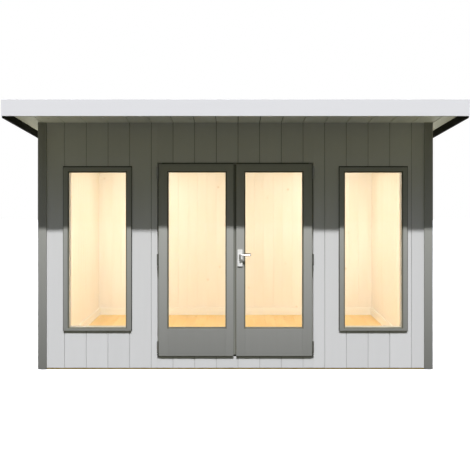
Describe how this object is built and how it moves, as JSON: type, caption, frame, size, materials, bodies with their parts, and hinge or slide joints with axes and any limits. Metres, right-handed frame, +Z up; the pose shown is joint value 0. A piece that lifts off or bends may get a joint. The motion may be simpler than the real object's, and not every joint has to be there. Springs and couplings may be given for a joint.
{
  "type": "garden office pod",
  "caption": "Timber garden office room with glazed double doors, tall fixed side windows, board cladding and a shallow pent roof with deep fascias and a wide front overhang.",
  "frame": {"origin": "on the ground under the middle of the floor, on the underside of the middle floor bearer", "axes": "+X along the front to the right as seen from outside, -Y out of the front, +Z up"},
  "size_m": [3.94, 3.117, 2.417],
  "materials": {
    "painted_cladding": "satin pale grey paint on boards",
    "painted_joinery": "satin grey-green paint",
    "painted_fascia": "satin off-white paint",
    "lining_timber": "clear-lacquered pine",
    "floor_timber": "lacquered pine boards",
    "bearer_timber": "rough treated timber",
    "glazing_bead": "dark glazing gasket",
    "clear_glass": "clear sealed glass unit",
    "hinge_steel": "dark bronzed steel",
    "handle_metal": "polished chrome",
    "roof_membrane": "matt dark roofing membrane"
  },
  "bodies": {
    "pod": {"floor_bearers": "bearer_timber", "floor_deck": "floor_timber", "front_wall_left": "painted_cladding", "front_wall_right": "painted_cladding", "front_wall_over_door": "painted_cladding", "front_wall_under_door": "painted_cladding", "left_wall": "painted_cladding", "right_wall": "painted_cladding", "back_wall": "painted_cladding", "front_lining": "lining_timber", "left_lining": "lining_timber", "right_lining": "lining_timber", "back_lining": "lining_timber", "skirting": "lining_timber", "front_corner_trims": "painted_joinery", "rear_corner_trims": "painted_joinery", "left_window_frame": "painted_joinery", "right_window_frame": "painted_joinery", "left_window_glass": "clear_glass", "right_window_glass": "clear_glass", "left_window_beads": "glazing_bead", "right_window_beads": "glazing_bead", "left_door_jamb": "painted_joinery", "right_door_jamb": "painted_joinery", "door_head": "painted_joinery", "door_threshold": "painted_joinery", "left_frame_hinges": "hinge_steel", "right_frame_hinges": "hinge_steel", "ceiling_boards": "lining_timber", "roof_panel": "floor_timber", "roof_covering": "roof_membrane", "front_fascia": "painted_fascia", "left_fascia": "painted_fascia", "right_fascia": "painted_fascia", "rear_fascia": "painted_fascia"},
    "left_door": {"left_door_leaf": "painted_joinery", "left_door_glass": "clear_glass", "left_door_beads": "glazing_bead", "door_meeting_strip": "painted_joinery", "left_leaf_hinges": "hinge_steel"},
    "right_door": {"right_door_leaf": "painted_joinery", "right_door_glass": "clear_glass", "right_door_beads": "glazing_bead", "right_leaf_hinges": "hinge_steel", "handle_plates": "handle_metal"},
    "lever": {"lever_handle": "handle_metal"}
  },
  "joints": [
    {"name": "left_door_swing", "type": "hinge", "parent": "pod", "child": "left_door", "pos_m": [-0.715, -1.245, 1.0135], "axis": [0, 0, -1], "range_deg": [0, 165]},
    {"name": "right_door_swing", "type": "hinge", "parent": "pod", "child": "right_door", "pos_m": [0.715, -1.245, 1.0135], "axis": [0, 0, 1], "range_deg": [0, 165]},
    {"name": "lever_turn", "type": "hinge", "parent": "right_door", "child": "lever", "pos_m": [0.043, -1.216, 1.058], "axis": [0, 1, 0], "range_deg": [0, 40], "stiffness_Nm_per_rad": 0.8}
  ]
}
